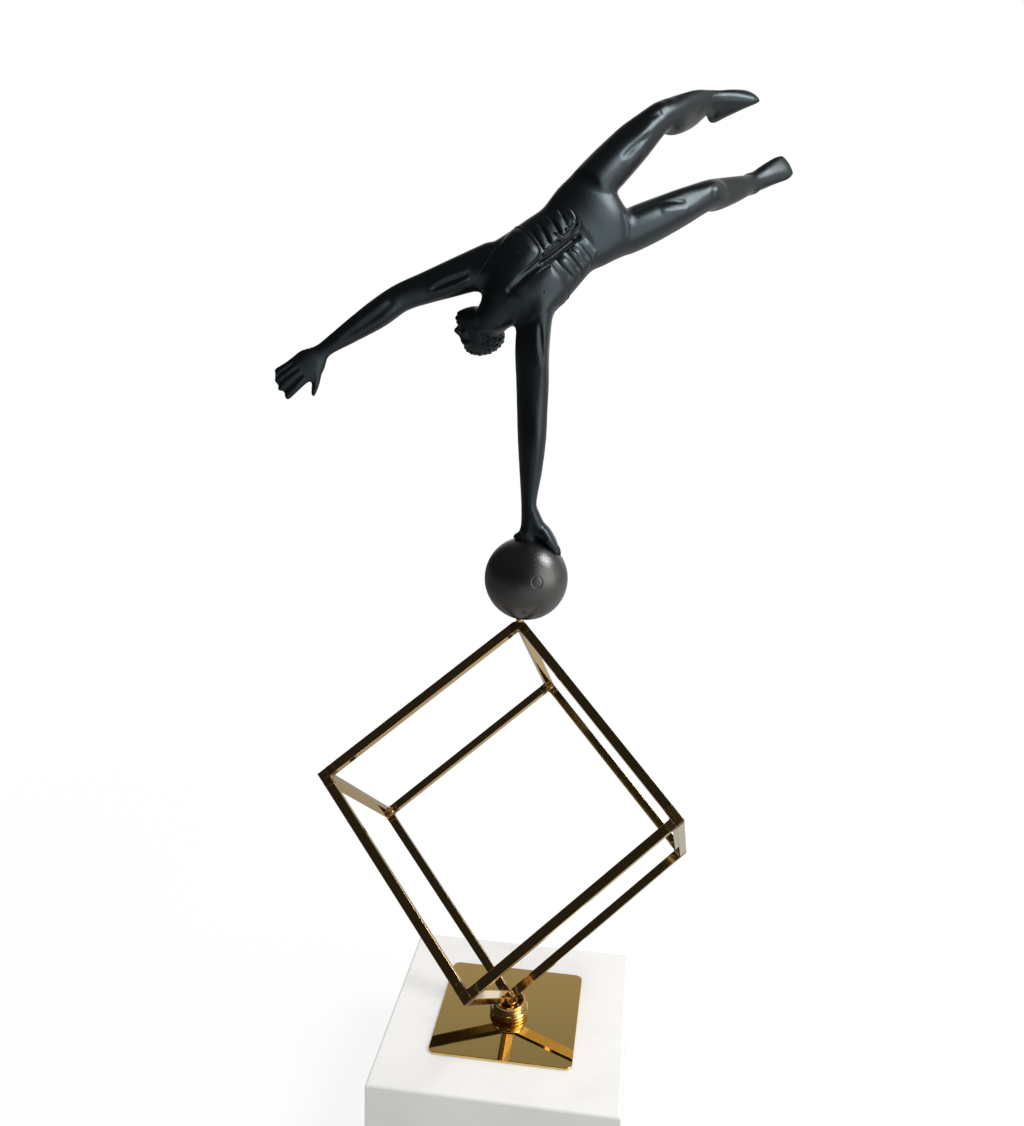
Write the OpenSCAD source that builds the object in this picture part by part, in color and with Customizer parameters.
// Balancing acrobat: a black figure in a one-handed balance on a ball, on an
// open cube of gilt bars that stands on its corner on a marble block.
// Origin: centre of the underside. +Z up. The front is -Y. Millimetres.

/* [Base] */
// Side of the square marble block
marble_w = 100; // [84:1:140]
// Height of the marble block
marble_h = 40; // [30:1:70]
// Width of the ground chamfer along the marble's edges
marble_edge = 0.8; // [0.3:0.1:2]
// Thickness of the felt pad under the marble
felt_t = 1; // [0.5:0.1:3]
// How far the felt stands back from the marble's sides
felt_inset = 2; // [1:0.5:6]
// Side of the mirror plate on the marble
plate_w = 59; // [40:1:80]
// Thickness of the mirror plate
plate_t = 1; // [0.6:0.1:3]
// Corner radius of the mirror plate
plate_r = 3; // [1:0.5:8]

/* [Foot] */
// Diameter of the threaded rod that holds the cube on the marble
rod_d = 5; // [4:0.5:6]
// Diameter of the rod's head under the cube's corner
rod_head_d = 7; // [6.5:0.5:8]
// Diameter of the collar on the plate
collar_d = 16.4; // [14.4:0.2:24]
// Height of the collar
collar_h = 3; // [2:0.1:6]
// Diameter of the sleeve on the collar
sleeve_d = 14.2; // [12:0.2:14.2]
// Height of the sleeve
sleeve_h = 3; // [2:0.1:3.5]
// Wall of the sleeve
sleeve_wall = 1.4; // [1:0.1:1.8]
// Diameter of the counterbore under the marble
pocket_d = 18; // [16:0.5:30]
// Depth of the counterbore under the marble
pocket_h = 14; // [10:0.5:18]

/* [Cube] */
// Outer side of the cube
cube_w = 100; // [70:1:130]
// Side of each square bar
bar_w = 3.6; // [3:0.1:5]
// How much of the top and bottom corner is ground away, along the diagonal
corner_cut = 2.2; // [1.8:0.1:2.8]
// Heading of the cube about the vertical
cube_heading = -34; // [-180:1:180]
// Radius of the brazed fillets in the cube's corners
braze_r = 1; // [0.5:0.1:2]

/* [Ball] */
// Diameter of the ball
ball_d = 33.4; // [28:0.2:44]
// Height of the neck between the cube's corner and the ball
neck_h = 1.5; // [1:0.1:3]
// Diameter of that neck
neck_d = 3.2; // [2.8:0.1:3.6]
// How far the ball's centre stands to the side of its stud, as cast
ball_shift = 2; // [0:0.1:2.5]
// Diameter of the stud's pin inside the ball
pin_d = 2.4; // [2:0.1:2.6]
// Diameter of the moulded plug in the ball's side
plug_d = 4; // [3:0.1:6]

/* [Figure] */
// Height of the wrist over the top of the ball
hand_rise = 12.5; // [11:0.5:15]
// Length of the supporting forearm
forearm_r = 38.5; // [34:0.5:46]
// Length of the supporting upper arm
upper_arm_r = 41; // [36:0.5:48]
// Length of the free upper arm
upper_arm_l = 40; // [34:0.5:46]
// Length of the free forearm
forearm_l = 37; // [32:0.5:44]
// Length of the free palm, from the wrist to the knuckles
palm_l = 10.5; // [9:0.5:13]
// Length of the free hand's middle finger
finger_l = 11; // [10:0.5:13]
// Distance between the shoulder joints
shoulder_w = 24.5; // [22:0.5:27]
// Length of the trunk, from the shoulders to the hips
trunk_len = 52; // [48:0.5:58]
// Distance between the hip joints
hip_w = 22.6; // [21.6:0.2:25]
// Length of the thighs
thigh_len = 54.5; // [48:0.5:62]
// Length of the shins
shin_len = 45.5; // [42:0.5:52]
// Length of the feet, from the ankle to the toes
foot_len = 28; // [25:0.5:33]
// Length of the neck, from the trunk to the middle of the head
neck_len = 20; // [18:0.5:24]
// Height of the head, from the chin to the crown
head_h = 23; // [20:0.5:26]
// Diameter of the steel dowels in the figure's joints
dowel_d = 2; // [1.5:0.1:2.4]

/* [Fits] */
// Radial clearance of the turning pins
turn_gap = 0.05; // [0.03:0.01:0.1]
// Radial clearance of glued dowels and inserts
glue_gap = 0.03; // [0.02:0.01:0.1]
// Clearance round the rod in the marble
marble_gap = 0.5; // [0.3:0.1:1]

/* [Hidden] */
$fn = 64;

gilt = "goldenrod";
black = "#26282a";
steel = "silver";

// Levels, from the ground up
marble_z = felt_t;
plate_z = marble_z + marble_h;
collar_z = plate_z + plate_t;
sleeve_z = collar_z + collar_h;
corner_z = sleeve_z + sleeve_h;
cube_z = corner_z - corner_cut;
cube_top_z = cube_z + cube_w * sqrt(3) - corner_cut;
ball_z = cube_top_z + neck_h;
ball_r = ball_d / 2;
// The ball's centre, beside the stud's axis
view_heading = 8;
ball_c = [ball_shift * cos(view_heading), ball_shift * sin(view_heading), ball_z + ball_r];
palm = ball_c + [0, 0, ball_r];

// Washer and nut sizes that follow the rod
washer_d = rod_d * 2.4;
washer_t = 1;
lock_d = rod_d * 1.8;
lock_t = 1.2;
nut_w = rod_d * 1.6;
nut_h = rod_d * 0.8;

// A unit vector from a heading and a rise, in degrees
function aim(heading, rise) = [cos(rise) * cos(heading), cos(rise) * sin(heading), sin(rise)];
function unit(v) = v / norm(v);
function flat(v, n) = v - n * (v * n);

// The skeleton, joint by joint from the palm
arm_dir_r = aim(73, 84.5);
wrist_r = palm + hand_rise * aim(20, 88);
elbow_r = wrist_r + forearm_r * aim(88, 85.5);
shoulder_r = elbow_r + upper_arm_r * arm_dir_r;
shoulder_dir = aim(174, 40.5);
arm_dir_l = aim(-157, -21);
shoulder_l = shoulder_r + shoulder_w * shoulder_dir;
elbow_l = shoulder_l + upper_arm_l * arm_dir_l;
forearm_dir_l = aim(-152, -34.5);
wrist_l = elbow_l + forearm_l * forearm_dir_l;
hand_dir_l = aim(-150, -39);
knuckle_l = wrist_l + palm_l * hand_dir_l;
collar = (shoulder_r + shoulder_l) / 2;
spine_dir = aim(47.5, 34);
pelvis = collar + trunk_len * spine_dir;
hip_dir = aim(-152, 49.5);
hip_l = pelvis + hip_w / 2 * hip_dir;
hip_r = pelvis - hip_w / 2 * hip_dir;
thigh_dir_l = aim(48, 38.6);
thigh_dir_r = aim(42, 22);
knee_l = hip_l + thigh_len * thigh_dir_l;
knee_r = hip_r + thigh_len * thigh_dir_r;
shin_dir_l = aim(57, 19.5);
shin_dir_r = aim(60, 12.8);
ankle_l = knee_l + shin_len * shin_dir_l;
ankle_r = knee_r + shin_len * shin_dir_r;
foot_dir_l = aim(38, 8);
foot_dir_r = aim(44, 21.7);
toe_l = ankle_l + foot_len * foot_dir_l;
toe_r = ankle_r + foot_len * foot_dir_r;

// Catmull-Rom value of a list at t, where 1 is one step along the list
function pick(list, i) = list[max(0, min(len(list) - 1, i))];
function spline(list, t) =
    let (i = floor(min(t, len(list) - 1.0001)), u = t - i,
         a = pick(list, i - 1), b = pick(list, i), c = pick(list, i + 1), d = pick(list, i + 2))
    b + 0.5 * u * (c - a + u * (2 * a - 5 * b + 4 * c - d + u * (3 * (b - c) + d - a)));

// The height that a list of swellings adds at a place on a limb.
// A swelling is [station, angle, length in stations, width in degrees, height].
function turn(a) = a - 360 * round(a / 360);
function swell(list, t, angle) =
    len(list) == 0 ? 0 :
    [for (b = list) b[4] * exp(-pow((t - b[0]) / b[2], 2) - pow(turn(angle - b[1]) / b[3], 2))]
    * [for (b = list) 1];

// One ring of a limb. A radii row is [side, front, other side, back].
function ring(centre, side, front, radii, fill, swells, t, count) =
    [for (j = [0 : count - 1])
        let (a = 360 * j / count, c = cos(a), s = sin(a),
             rx = c > 0 ? radii[0] : radii[2], ry = s > 0 ? radii[1] : radii[3],
             k = 1 / pow(pow(abs(c), fill) + pow(abs(s), fill), 1 / fill),
             e = swell(swells, t, a))
        centre + side * c * (rx * k + e) + front * s * (ry * k + e)];

// A limb swept along a path, one radii row to each point of the path. front_a and
// front_b face forward at its two ends; hand is 1 or -1 and picks the side.
module limb(path, front_a, front_b, radii, hand = 1, swells = [], rings = 24, count = 18,
            fill = 2, tip = 0) {
    last = len(path) - 1;
    loops = [for (i = [0 : rings - 1])
        let (t = last * i / (rings - 1),
             ahead = unit(spline(path, min(last, t + 0.05)) - spline(path, max(0, t - 0.05))),
             mix = t / last,
             front = unit(flat(front_a * (1 - mix) + front_b * mix, ahead)),
             side = hand * cross(ahead, front))
        ring(spline(path, t), side, front, spline(radii, t), fill, swells, t, count)];
    end = path[last] + tip * unit(path[last] - path[last - 1]);
    points = concat([for (l = loops) each l], [path[0], end]);
    first = rings * count;
    faces = concat(
        [for (i = [0 : rings - 2], j = [0 : count - 1])
            let (k = (j + 1) % count)
            each [[i * count + j, i * count + k, (i + 1) * count + k],
                  [i * count + j, (i + 1) * count + k, (i + 1) * count + j]]],
        [for (j = [0 : count - 1]) [first, (j + 1) % count, j]],
        [for (j = [0 : count - 1])
            [first + 1, (rings - 1) * count + j, (rings - 1) * count + (j + 1) % count]]);
    polyhedron(points = points, faces = hand > 0 ? faces : [for (f = faces) [f[2], f[1], f[0]]],
               convexity = 6);
}

// A finger or a thumb: a slim limb with a rounded tip
module finger(path, radius, front) {
    limb(path, front, front,
         [for (i = [0 : len(path) - 1]) radius * (1 - 0.12 * i) * [1, 1, 1, 1]],
         rings = 7, count = 8, tip = radius * 0.7);
}

// A cylinder that starts at a point and runs along a direction
module rod_at(start, direction, length, diameter) {
    d = unit(direction);
    translate(start)
        rotate([0, acos(d[2]), atan2(d[1], d[0])])
            cylinder(h = length, d = diameter);
}

// Base

module chamfered_block(w, h, edge) {
    hull() {
        translate([0, 0, edge])
            linear_extrude(h - 2 * edge)
                square(w, center = true);
        linear_extrude(h)
            square(w - 2 * edge, center = true);
    }
}

module base_felt() {
    color("#202020")
        linear_extrude(felt_t)
            square(marble_w - 2 * felt_inset, center = true);
}

module marble_block() {
    color("whitesmoke")
        translate([0, 0, marble_z])
            difference() {
                chamfered_block(marble_w, marble_h, marble_edge);
                translate([0, 0, -1])
                    cylinder(h = marble_h + 2, d = rod_d + 2 * marble_gap);
                translate([0, 0, -1])
                    cylinder(h = pocket_h + 1, d = pocket_d);
            }
}

module base_plate() {
    inner = plate_w / 2 - plate_r;
    color(gilt)
        translate([0, 0, plate_z])
            difference() {
                union() {
                    linear_extrude(plate_t)
                        square([plate_w, 2 * inner], center = true);
                    linear_extrude(plate_t)
                        square([2 * inner, plate_w], center = true);
                    for (x = [-inner, inner], y = [-inner, inner])
                        translate([x, y, 0])
                            cylinder(h = plate_t, r = plate_r);
                }
                translate([0, 0, -1])
                    cylinder(h = plate_t + 2, d = rod_d + 2 * turn_gap);
            }
}

// Foot: a grooved collar and a sleeve on the plate, and the rod through both

module foot_collar() {
    r = collar_d / 2;
    groove = 0.4;
    bore = rod_d / 2 + turn_gap;
    lip = collar_h / 4;
    color(gilt)
        translate([0, 0, collar_z])
            rotate_extrude()
                polygon([[bore, 0], [r - groove, 0], [r, groove], [r, lip], [r - groove, lip + groove],
                         [r - groove, collar_h - lip - groove], [r, collar_h - lip],
                         [r, collar_h - groove], [r - groove, collar_h], [bore, collar_h]]);
}

module foot_sleeve() {
    r = sleeve_d / 2;
    inner = r - sleeve_wall;
    round_r = sleeve_wall / 2;
    color(gilt)
        translate([0, 0, sleeve_z])
            rotate_extrude()
                union() {
                    translate([inner, 0])
                        square([sleeve_wall, sleeve_h - round_r]);
                    translate([r - round_r, sleeve_h - round_r])
                        circle(r = round_r, $fn = 32);
                }
}

rod_bottom = marble_z + pocket_h - washer_t - lock_t - nut_h - 1;

module foot_rod() {
    color(gilt) {
        translate([0, 0, sleeve_z])
            cylinder(h = sleeve_h, d = rod_head_d);
        translate([0, 0, rod_bottom])
            cylinder(h = sleeve_z - rod_bottom, d = rod_d);
    }
}

module ring_on_rod(z, d, t, inner) {
    translate([0, 0, z])
        difference() {
            cylinder(h = t, d = d);
            translate([0, 0, -1])
                cylinder(h = t + 2, d = inner);
        }
}

washer_z = marble_z + pocket_h - washer_t;
lock_z = washer_z - lock_t;
nut_z = lock_z - nut_h;

module foot_washer() {
    color(steel)
        ring_on_rod(washer_z, washer_d, washer_t, rod_d + 2 * glue_gap);
}

module foot_lock_washer() {
    slot = 0.8;
    color(steel)
        difference() {
            ring_on_rod(lock_z, lock_d, lock_t, rod_d + 2 * glue_gap);
            translate([0, -slot / 2, lock_z - 1])
                cube([lock_d, slot, lock_t + 2]);
        }
}

module foot_nut() {
    color(steel)
        translate([0, 0, nut_z])
            difference() {
                cylinder(h = nut_h, d = nut_w / cos(30), $fn = 6);
                translate([0, 0, -1])
                    cylinder(h = nut_h + 2, d = rod_d + 2 * glue_gap);
            }
}

// Cube: bars in the cube's own axes, stood on the corner at its origin

module stand_on_corner() {
    translate([0, 0, cube_z])
        rotate([0, 0, cube_heading])
            rotate([0, -atan(sqrt(2)), 0])
                rotate([0, 0, -45])
                    children();
}

// Where the slabs lie that grind the top and the bottom corner flat
module corner_cuts() {
    big = 30;
    translate([-big / 2, -big / 2, corner_z - big])
        cube(big);
    translate([-big / 2, -big / 2, cube_top_z])
        cube(big);
}

// A bar runs along one axis (0, 1 or 2); near and far place it on the other two
module bar(axis, near, far) {
    through = axis == 0;
    start = through ? 0 : bar_w;
    length = through ? cube_w : cube_w - 2 * bar_w;
    place = [0, cube_w - bar_w];
    corner = axis == 0 ? [start, place[near], place[far]]
           : axis == 1 ? [place[near], start, place[far]]
           : [place[near], place[far], start];
    size = axis == 0 ? [length, bar_w, bar_w]
         : axis == 1 ? [bar_w, length, bar_w]
         : [bar_w, bar_w, length];
    color(gilt)
        difference() {
            stand_on_corner()
                translate(corner)
                    cube(size);
            corner_cuts();
        }
}

// Fillets of braze in the three inner angles of each of the eight corners
module braze_fillet() {
    linear_extrude(bar_w)
        difference() {
            square(braze_r);
            translate([braze_r, braze_r])
                circle(r = braze_r, $fn = 24);
        }
}

module braze_corner() {
    for (turn_i = [0 : 2])
        rotate(a = 120 * turn_i, v = [1, 1, 1])
            translate([bar_w, bar_w, 0])
                braze_fillet();
}

module braze_fillets() {
    color("darkgoldenrod")
        difference() {
            stand_on_corner()
                for (x = [0, 1], y = [0, 1], z = [0, 1])
                    translate([x, y, z] * cube_w)
                        mirror([x, 0, 0])
                            mirror([0, y, 0])
                                mirror([0, 0, z])
                                    braze_corner();
            corner_cuts();
        }
}

// Ball: hung on the stud that is brazed on the cube's top corner

insert_d = pin_d + 1.4;
insert_h = 9;
pin_len = 10;

module ball_stud() {
    color(gilt) {
        translate([0, 0, cube_top_z])
            cylinder(h = neck_h, d = neck_d);
        translate([0, 0, ball_z])
            cylinder(h = pin_len, d = pin_d);
    }
}

module ball_insert() {
    color("peru")
        translate([0, 0, ball_z])
            difference() {
                cylinder(h = insert_h, d = insert_d);
                translate([0, 0, -1])
                    cylinder(h = insert_h + 2, d = pin_d + 2 * turn_gap);
            }
}

plug_h = 2;
// How far the plug's face lies under the ball's surface
plug_dip = 0.15;
plug_dir = aim(-68, 9);

plug_base = ball_c + (ball_r - plug_h) * plug_dir;

module ball() {
    color(black)
        difference() {
            translate(ball_c)
                sphere(r = ball_r, $fn = 96);
            translate([0, 0, ball_z - 1])
                cylinder(h = insert_h + 1, d = insert_d + 2 * glue_gap);
            translate([0, 0, ball_z])
                cylinder(h = pin_len + 1, d = pin_d + 2 * turn_gap);
            rod_at(plug_base, plug_dir, plug_h + 1, plug_d + 2 * glue_gap);
            rod_at(palm - [0, 0, wrist_sink], [0, 0, 1], wrist_sink + 1, dowel_d + 2 * glue_gap);
        }
}

module ball_plug() {
    color(black)
        rod_at(plug_base, plug_dir, plug_h - plug_dip, plug_d);
}

// Figure: cast limbs, each with a flat seam on the trunk and a dowel through it

wrist_sink = 8;
dowel_len = 12;
seam_gap = 0.3;

chest_front = unit(cross(shoulder_dir, -spine_dir));
belly_front = unit(cross(hip_dir, -spine_dir));
viewer = aim(view_heading - 90, 0);

// Where each limb starts, as [point, direction of the limb, radius of its root]
arm_root_r = [shoulder_r - 4 * arm_dir_r, -arm_dir_r, 8.6];
arm_root_l = [shoulder_l - 1 * arm_dir_l, arm_dir_l, 7.8];
leg_root_l = [hip_l + 6 * thigh_dir_l, thigh_dir_l, 9.7];
leg_root_r = [hip_r + 6 * thigh_dir_r, thigh_dir_r, 9.7];
neck_dir = aim(165, -48);
neck_root = [collar + 7 * aim(-140, -32), neck_dir, 7.2];
roots = [arm_root_r, arm_root_l, leg_root_l, leg_root_r, neck_root];

module dowel_hole(root) {
    rod_at(root[0] - root[1] * (dowel_len / 2 + 0.1), root[1], dowel_len + 0.2,
           dowel_d + 2 * glue_gap);
}

// Places down the trunk, in shares of its length, and the radii at each
trunk_marks = [1.22, 1.185, 1.12, 1, 0.87, 0.74, 0.6, 0.42, 0.23, 0.08, -0.05, -0.14, -0.2, -0.23];
trunk_radii = [
    [2, 2, 2, 2], [12, 7.4, 12, 8], [20.9, 10.6, 21.3, 10.4], [20.4, 10.2, 20.2, 11],
    [19.8, 9.6, 18.2, 11], [18.6, 8.8, 16.8, 9.6], [17.2, 8.6, 15.2, 8.8],
    [17.8, 9.8, 16.2, 9.4], [18.2, 11, 17.6, 10.4], [18.4, 10.8, 18.8, 10.4],
    [17.4, 9.8, 20.4, 9.8], [14, 8.8, 17.4, 8.8], [9.5, 7, 12, 7], [5, 5, 6, 5]];
// Muscles of the trunk: chest, belly, flanks, buttocks, back and shoulder blades
trunk_swells = [
    [8.5, 57, 1.25, 25, 2], [8.5, 123, 1.25, 25, 2], [8.6, 90, 1.8, 7, -1.8],
    [7, 76, 0.36, 10, 1.5], [7, 104, 0.36, 10, 1.5],
    [6.2, 76, 0.34, 10, 1.5], [6.2, 104, 0.34, 10, 1.5],
    [5.4, 76, 0.34, 10, 1.3], [5.4, 104, 0.34, 10, 1.3],
    [6.2, 90, 1.3, 5, -0.8], [4.3, 60, 0.8, 16, 0.8], [4.3, 120, 0.8, 16, 0.8],
    [6.6, 42, 0.5, 10, 1], [6.6, 138, 0.5, 10, 1],
    [3.2, 240, 0.8, 22, 1.8], [3.2, 300, 0.8, 22, 1.8], [2.9, 270, 1.1, 9, -1.6],
    [6, 270, 3, 8, -1.2], [8.4, 236, 1.2, 20, 1.4], [8.4, 304, 1.2, 20, 1.4]];

module torso() {
    color(black)
        difference() {
            limb([for (m = trunk_marks) collar + m * trunk_len * spine_dir],
                 belly_front, chest_front, trunk_radii, swells = trunk_swells,
                 rings = 54, count = 44, fill = 2.3);
            for (r = roots) {
                rod_at(r[0], r[1], 30, 2 * (r[2] + seam_gap));
                dowel_hole(r);
            }
        }
}

// The supporting arm. Its hand arches over the ball and rests on fingers and heel.
palm_side = aim(view_heading + 180, 0);

// A point over the ball, by heading, distance from its upright axis and height
function on_ball(heading, out, up) = ball_c + out * aim(heading, 0) + [0, 0, up];

module support_hand() {
    knuckle_up = ball_r + 4;
    limb([wrist_r, on_ball(view_heading, 3.4, ball_r + 8.2), on_ball(view_heading, 7, knuckle_up)],
         -palm_side, -palm_side,
         [[4.2, 2.4, 4.2, 2.6], [4.6, 2, 4.8, 2.4], [4.6, 1.4, 4.6, 1.6]],
         rings = 8, count = 14, tip = 1);
    for (i = [-1.5 : 1 : 1.5]) {
        spread = view_heading + 13 * i;
        finger([on_ball(view_heading + 24 * i, 6.6, knuckle_up + 0.2),
                on_ball(spread, 9.9, 1.05 * ball_r), on_ball(spread, 0.69 * ball_r, 0.78 * ball_r)],
               1.55, aim(spread, 40));
    }
    finger([wrist_r - [0, 0, 4], on_ball(view_heading + 80, 6.5, ball_r + 1.2),
            on_ball(view_heading + 70, 0.7 * ball_r, 0.78 * ball_r)], 1.8, [0, 0, 1]);
}

// Its radii rows are [far side, left, near side, right]
module support_arm() {
    upper = shoulder_r - elbow_r;
    lower = elbow_r - wrist_r;
    color(black)
        difference() {
            union() {
                limb([arm_root_r[0], elbow_r + 0.58 * upper, elbow_r + 0.26 * upper, elbow_r,
                      wrist_r + 0.7 * lower, wrist_r + 0.36 * lower, wrist_r + 0.06 * lower,
                      wrist_r - [0, 0, hand_rise / 2], palm - [0, 0, 2]],
                     palm_side, palm_side,
                     [[8.4, 8.6, 8.4, 7.4], [7.9, 8.7, 7.9, 6.5], [6.8, 7.4, 6.8, 5.9],
                      [6.2, 6.5, 6.2, 5.7], [6.5, 6, 6.4, 5.7], [5.4, 4.6, 5.4, 4.4],
                      [4.4, 3.3, 4.4, 2.9], [4.6, 3.3, 4.6, 3.2], [5, 4, 5, 4.2]],
                     swells = [[1.3, 20, 0.8, 30, 0.7], [1, 200, 0.8, 30, 0.7],
                               [4, 20, 0.7, 30, 0.5]],
                     rings = 24, count = 16);
                support_hand();
            }
            translate(ball_c)
                sphere(r = ball_r, $fn = 96);
            dowel_hole(arm_root_r);
            rod_at(palm - [0, 0, 1], [0, 0, 1], wrist_sink + 1.1, dowel_d + 2 * glue_gap);
        }
}

// The free arm: its palm faces the front, and its thumb points down
thumb_side = unit(flat([0, 0, -1], hand_dir_l));
finger_share = [0.94, 1.02, 1, 0.78];

module free_hand() {
    for (i = [0 : 3]) {
        spread = 1.5 - i;
        start = knuckle_l + 2.5 * spread * thumb_side - 0.6 * hand_dir_l;
        way = aim(-150, -43 - 10 * spread);
        reach = finger_l * finger_share[i];
        finger([start, start + 0.55 * reach * way + 0.3 * viewer,
                start + reach * way + 1.2 * viewer], 1.4, viewer);
    }
    thumb = wrist_l + [0, 0, -4.8];
    finger([wrist_l + 3 * hand_dir_l, thumb, thumb + 1.1 * finger_l * aim(-111, -64)], 2, viewer);
}

module free_arm() {
    color(black)
        difference() {
            union() {
                limb([arm_root_l[0], shoulder_l + 0.36 * upper_arm_l * arm_dir_l,
                      shoulder_l + 0.7 * upper_arm_l * arm_dir_l, elbow_l,
                      elbow_l + 0.3 * forearm_l * forearm_dir_l,
                      elbow_l + 0.66 * forearm_l * forearm_dir_l, wrist_l,
                      (wrist_l + knuckle_l) / 2, knuckle_l],
                     viewer, viewer,
                     [[7.8, 7.8, 7.8, 7.8], [7.2, 6.8, 6.5, 6.8], [5.6, 5.6, 5.6, 5.8],
                      [4.9, 4.9, 5.2, 5.2], [5.3, 5, 5.5, 5], [4.2, 3.9, 4.5, 3.9],
                      [3.2, 2.4, 3.2, 2.4], [4.9, 2.2, 4.4, 2.2], [5, 1.5, 5, 1.5]],
                     hand = -1,
                     swells = [[1.1, 80, 0.7, 30, 0.8], [0.9, 260, 0.8, 30, 0.8],
                               [3.9, 110, 0.6, 30, 0.5]],
                     rings = 28, count = 18, tip = 0.8);
                free_hand();
            }
            dowel_hole(arm_root_l);
        }
}

// A leg. A radii row is [outer side, front, inner side, back].
module leg(root, knee, thigh, ankle, shin, foot, radii, hand) {
    ahead = unit(flat(thigh - shin, thigh));
    difference() {
        limb([root[0], knee - 0.62 * thigh_len * thigh, knee - 0.28 * thigh_len * thigh, knee,
              knee + 0.26 * shin_len * shin, knee + 0.62 * shin_len * shin,
              ankle - 0.06 * shin_len * shin, ankle + 0.16 * foot_len * foot,
              ankle + 0.5 * foot_len * foot, ankle + 0.82 * foot_len * foot,
              ankle + foot_len * foot],
             ahead, ahead, radii, hand = hand,
             swells = [[1.6, 60, 0.9, 30, 0.7], [2.1, 130, 0.6, 24, 0.8], [2.1, 50, 0.6, 24, 0.6],
                       [3, 90, 0.4, 24, 0.8], [4.1, 240, 0.6, 26, 0.8], [4, 300, 0.6, 26, 0.6],
                       [6.3, 0, 0.3, 30, 0.8], [6.3, 180, 0.3, 30, 0.8]],
             rings = 34, count = 18, tip = 1.4);
        dowel_hole(root);
    }
}

thigh_radii = [[9.4, 9.3, 9.3, 9.4], [9.1, 9.1, 8.8, 9.1], [7.9, 8, 7.6, 7.6], [6.7, 7, 6.6, 6]];

module left_leg() {
    color(black)
        leg(leg_root_l, knee_l, thigh_dir_l, ankle_l, shin_dir_l, foot_dir_l,
            concat(thigh_radii, [[6.8, 6.2, 6.6, 8.4], [4.8, 6, 4.6, 6.6], [4, 4.6, 4, 5.9],
                                 [3.9, 4.2, 3.9, 8.8], [4.4, 3.7, 4.6, 5],
                                 [5.2, 2.6, 5.4, 2.8], [4, 1.3, 4.6, 1.3]]), -1);
}

module right_leg() {
    color(black)
        leg(leg_root_r, knee_r, thigh_dir_r, ankle_r, shin_dir_r, foot_dir_r,
            concat(thigh_radii, [[7.4, 5.4, 6.4, 8.4], [6.6, 4.4, 5, 7], [5.2, 3.6, 4, 5.2],
                                 [5.2, 3.4, 4.4, 7], [5.6, 3, 5.4, 3.6],
                                 [6.4, 2.2, 6.2, 2.6], [5.4, 1.1, 5.6, 1.1]]), 1);
}

// The head and neck. The head is thrown back and looks along the free arm.
head_up = aim(64, -60.7);
face_dir = unit(flat(aim(-176, -16), head_up));
head_c = collar + 5 * aim(-140, -25) + neck_len * aim(164, -47) + 5 * aim(70, 0);
head_marks = [-0.47, -0.36, -0.18, 0, 0.18, 0.34, 0.45, 0.5];

module head() {
    color(black)
        difference() {
            union() {
                limb([neck_root[0], neck_root[0] + 0.2 * neck_len * neck_dir,
                      neck_root[0] + 0.5 * neck_len * neck_dir,
                      head_c - 0.1 * head_h * head_up - 2 * face_dir],
                     face_dir, face_dir,
                     [[7, 7, 7, 7], [6.4, 6.4, 6.4, 6.4], [5.8, 5.8, 5.8, 5.8],
                      [5.6, 5.6, 5.6, 5.6]],
                     rings = 12, count = 16, tip = 1);
                limb([for (m = head_marks) head_c + m * head_h * head_up],
                     face_dir, face_dir,
                     head_h / 23 * [[2.6, 6.4, 2.6, 1.5], [5, 8.6, 5, 4.6], [6.4, 8.8, 6.4, 7.6],
                      [7.2, 8.8, 7.2, 9], [7.7, 9.2, 7.7, 9.6], [6.6, 7.8, 6.6, 8.4],
                      [3.8, 4.6, 3.8, 5], [1, 1, 1, 1.2]],
                     swells = [[2.3, 90, 0.5, 12, 2.2], [3, 90, 0.7, 8, 0.9],
                               [2.9, 62, 0.35, 12, -0.8], [2.9, 118, 0.35, 12, -0.8],
                               [3.5, 90, 0.35, 40, 0.5], [1.3, 90, 0.3, 16, 0.5],
                               [0.7, 90, 0.4, 18, 0.6], [2.6, 0, 0.5, 9, 1.2],
                               [2.6, 180, 0.5, 9, 1.2]],
                     rings = 24, count = 26, tip = 0.2);
            }
            rod_at(arm_root_l[0], arm_root_l[1], 30, 2 * (arm_root_l[2] + seam_gap));
            dowel_hole(neck_root);
        }
}

module wrist_dowel() {
    color(steel)
        rod_at(palm - [0, 0, wrist_sink], [0, 0, 1], 2 * wrist_sink, dowel_d);
}

module figure_dowels() {
    color(steel)
        for (r = roots)
            rod_at(r[0] - r[1] * dowel_len / 2, r[1], dowel_len, dowel_d);
}

base_felt();
marble_block();
base_plate();
foot_collar();
foot_sleeve();
foot_rod();
foot_washer();
foot_lock_washer();
foot_nut();
bar(0, 0, 0);  // lower_bar_1
bar(1, 0, 0);  // lower_bar_2
bar(2, 0, 0);  // lower_bar_3
bar(0, 1, 0);  // middle_bar_1
bar(0, 0, 1);  // middle_bar_2
bar(1, 1, 0);  // middle_bar_3
bar(1, 0, 1);  // middle_bar_4
bar(2, 1, 0);  // middle_bar_5
bar(2, 0, 1);  // middle_bar_6
bar(0, 1, 1);  // upper_bar_1
bar(1, 1, 1);  // upper_bar_2
bar(2, 1, 1);  // upper_bar_3
braze_fillets();
ball_stud();
ball_insert();
ball();
ball_plug();
support_arm();
torso();
head();
free_arm();
left_leg();
right_leg();
wrist_dowel();
figure_dowels();
